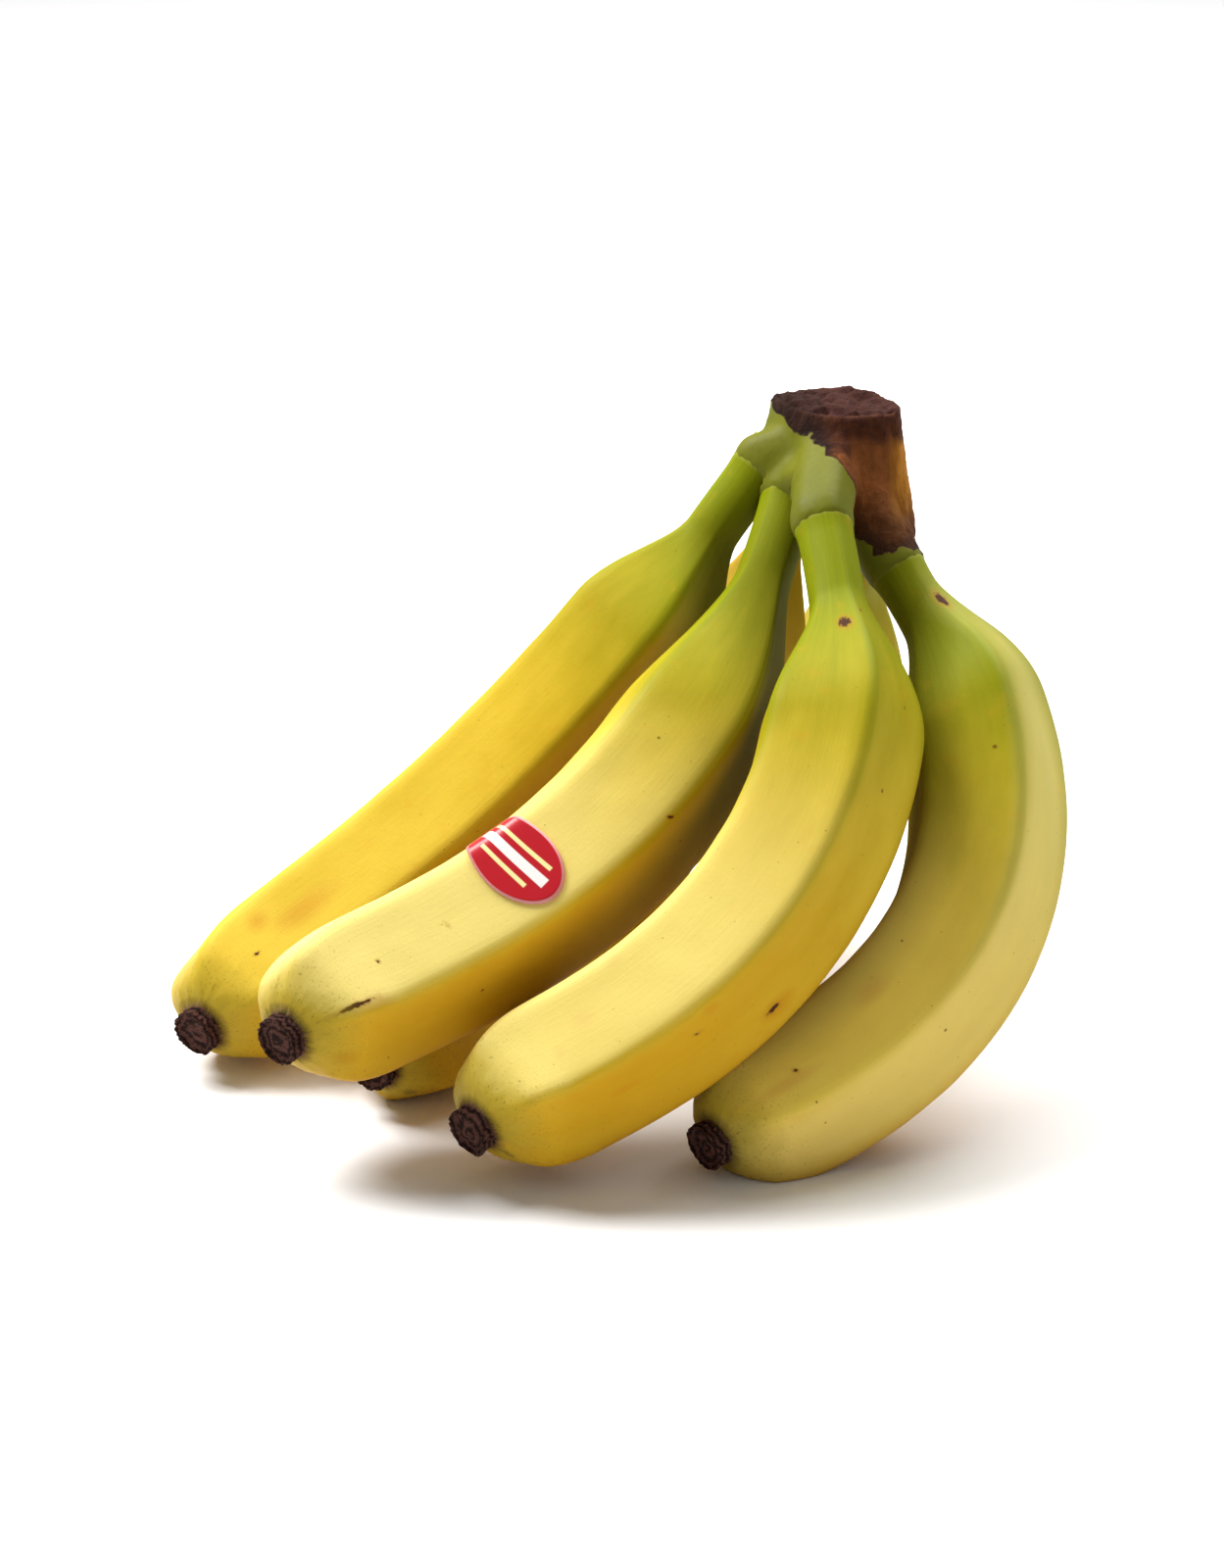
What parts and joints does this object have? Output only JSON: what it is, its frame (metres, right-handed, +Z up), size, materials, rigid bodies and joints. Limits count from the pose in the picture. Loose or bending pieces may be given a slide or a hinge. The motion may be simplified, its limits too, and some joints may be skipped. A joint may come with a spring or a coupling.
{
  "type": "bunch of bananas",
  "caption": "Cut bunch of ripe dessert bananas joined at a brown crown, with an oval sticker, lying on its bellies and tips with the crown up.",
  "frame": {"origin": "centre of the bunch's bounding box in plan, on the surface it rests on", "axes": "+X along the bunch's longest extent, from the left-hand tips to the outermost fruit's belly; +Z up, towards the cut crown; -Y the side that the picture shows, towards the tips"},
  "size_m": [0.1991, 0.1603, 0.1415],
  "materials": {
    "banana_skin": "waxy ripe yellow banana skin, greenish at the neck; stands in for plant skin",
    "crown_bark": "dry brown fibrous crown, green where the stems leave it",
    "sticker_paper": "glossy red coated paper"
  },
  "bodies": {
    "root": {"banana_1": "banana_skin", "banana_2": "banana_skin", "banana_3": "banana_skin", "banana_4": "banana_skin", "banana_5": "banana_skin", "banana_6": "banana_skin", "crown": "crown_bark", "sticker": "sticker_paper"}
  },
  "joints": []
}
